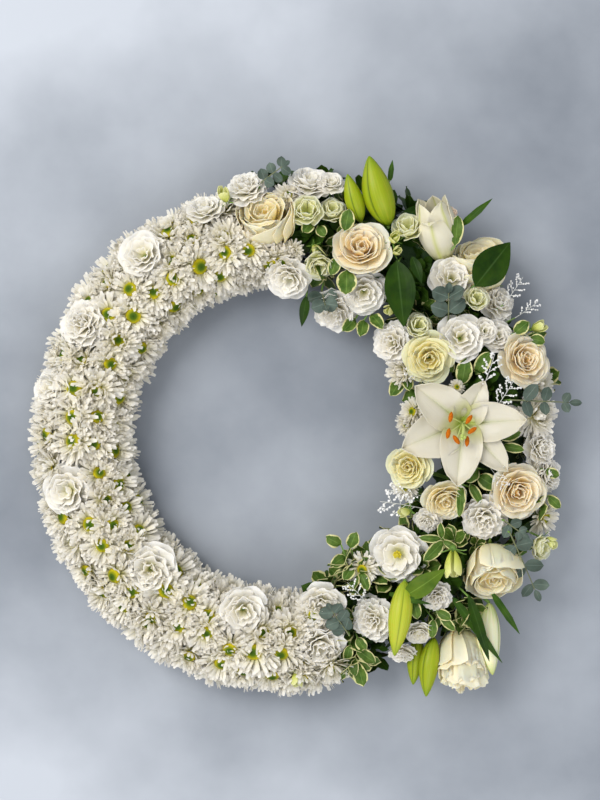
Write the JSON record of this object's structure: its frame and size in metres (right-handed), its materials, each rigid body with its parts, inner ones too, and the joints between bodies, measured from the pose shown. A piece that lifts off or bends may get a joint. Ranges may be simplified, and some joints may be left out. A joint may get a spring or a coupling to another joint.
{
  "type": "funeral wreath",
  "caption": "Round fresh-flower wreath on a foam ring: a white chrysanthemum bed on one half, roses, lilies, lisianthus and greenery on the other.",
  "frame": {"origin": "centre of the ring on the underside of the foam tray", "axes": "+Z out of the wreath's face along the ring's axis, +Y towards the top of the wreath, +X to the right as its face is seen"},
  "size_m": [0.7045, 0.7012, 0.1203],
  "materials": {
    "chrysanthemum": "soft white petals round a yellow ring and an olive eye",
    "lisianthus": "soft white petals with a pale green heart",
    "carnation": "soft white fringed petals",
    "rose": "cream petals, warmer in the heart",
    "lily": "white waxy petals, green in the throat",
    "lily_bud": "smooth yellow-green",
    "leaf": "dark green, glossy",
    "eucalyptus": "grey-green with a matt bloom",
    "pittosporum": "mid green with cream edges",
    "limonium": "white, dry",
    "floral_foam": "matt green, wet",
    "foam_tray": "matt dark green"
  },
  "bodies": {
    "root": {"lily": "lily", "rose_crown": "rose", "rose_open_top": "rose", "rose_inner_upper": "rose", "rose_outer_upper": "rose", "rose_inner_lower": "rose", "rose_centre_lower": "rose", "rose_outer_lower": "rose", "rose_nodding": "rose", "rose_foot": "rose", "rose_shoulder": "rose", "lily_half_open": "lily", "lily_bud_crown_large": "lily_bud", "lily_bud_crown_small": "lily_bud", "lily_bud_face": "lily_bud", "lily_bud_foot_inner": "lily_bud", "lily_bud_foot_outer": "lily_bud", "lily_bud_white": "lily_bud", "lisianthus_bed_top": "lisianthus", "lisianthus_bed_upper": "lisianthus", "carnation_bed_upper": "carnation", "lisianthus_bed_left": "lisianthus", "lisianthus_bed_lower": "lisianthus", "lisianthus_bed_bottom": "lisianthus", "lisianthus_bed_foot": "lisianthus", "carnation_bed_foot": "carnation", "carnation_crown": "carnation", "lisianthus_crown": "lisianthus", "lisianthus_crown_inner": "lisianthus", "carnation_inner_top": "carnation", "lisianthus_face_top": "lisianthus", "carnation_inner_upper": "carnation", "lisianthus_shoulder": "lisianthus", "lisianthus_face_upper": "lisianthus", "carnation_shoulder": "carnation", "carnation_right": "carnation", "carnation_face_lower": "carnation", "lisianthus_inner_lower": "lisianthus", "carnation_inner_foot": "carnation", "lily_leaf_centre": "leaf", "lily_leaf_shoulder": "leaf", "grass_blade_foot": "leaf", "eucalyptus_right": "eucalyptus", "eucalyptus_foot": "eucalyptus", "eucalyptus_inner": "eucalyptus", "pittosporum_foot": "pittosporum", "pittosporum_inner_lower": "pittosporum", "limonium_inner": "limonium", "chrysanthemum_spray_01": "chrysanthemum", "chrysanthemum_spray_02": "chrysanthemum", "chrysanthemum_spray_03": "chrysanthemum", "chrysanthemum_spray_04": "chrysanthemum", "chrysanthemum_spray_05": "chrysanthemum", "chrysanthemum_spray_06": "chrysanthemum", "chrysanthemum_spray_07": "chrysanthemum", "chrysanthemum_spray_08": "chrysanthemum", "chrysanthemum_spray_09": "chrysanthemum", "chrysanthemum_spray_10": "chrysanthemum", "foam_ring": "floral_foam", "foam_tray": "foam_tray"}
  },
  "joints": []
}
